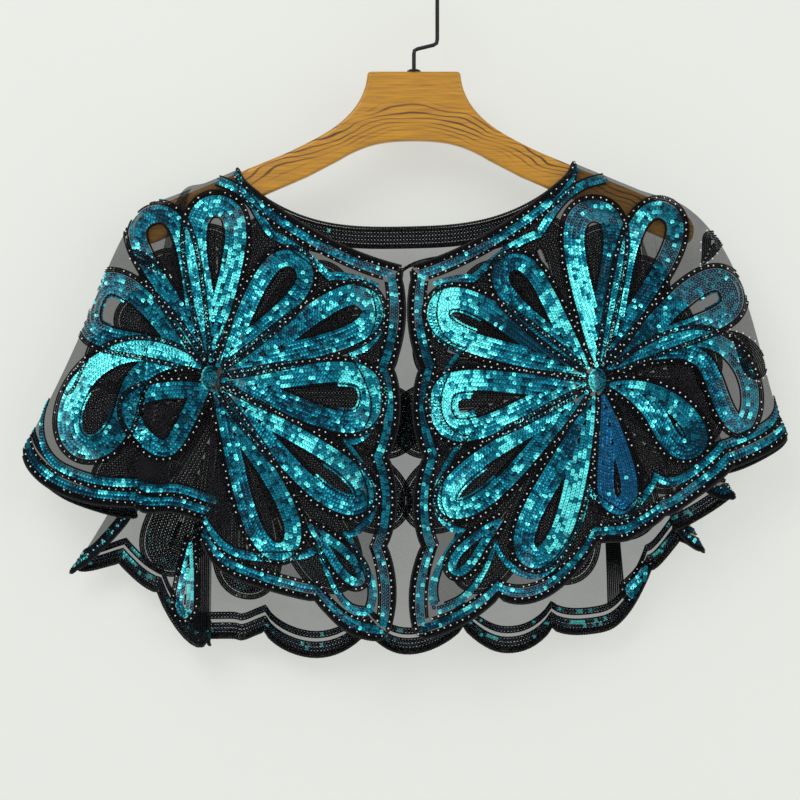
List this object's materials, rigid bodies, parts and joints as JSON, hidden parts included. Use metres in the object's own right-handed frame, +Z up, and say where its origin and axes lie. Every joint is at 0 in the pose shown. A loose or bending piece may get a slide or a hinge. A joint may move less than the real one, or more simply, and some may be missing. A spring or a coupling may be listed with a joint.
{
  "type": "sequinned net capelet on a wooden hanger",
  "caption": "Short open-front net capelet with scalloped hems and beaded flowers, hung flat on a flat wooden hanger with a cranked wire hook.",
  "frame": {"origin": "the point inside the top of the hanger's hook that rests on a rail", "axes": "+Z up, +X to the viewer's right as seen from the front, +Y away from the viewer; the hanger lies in the plane y = 0"},
  "size_m": [0.6168, 0.081, 0.5562],
  "materials": {
    "black_net": "sheer black net",
    "black_cord": "matte black cord",
    "teal_sequins": "metallic teal sequins",
    "varnished_wood": "clear satin varnish",
    "black_wire": "glossy black"
  },
  "bodies": {
    "root": {"front_left_panel": "black_net", "front_right_panel": "black_net", "back_panel": "black_net", "neck_binding": "black_cord", "edge_binding_left": "black_cord", "edge_binding_right": "black_cord", "hem_binding_back": "black_cord", "flower_hub_front_left": "teal_sequins", "flower_hub_front_right": "teal_sequins", "flower_hub_back_left": "teal_sequins", "flower_hub_back_right": "teal_sequins", "hanger_body": "varnished_wood", "hanger_hook": "black_wire", "hook_ferrule": "black_wire"}
  },
  "joints": []
}
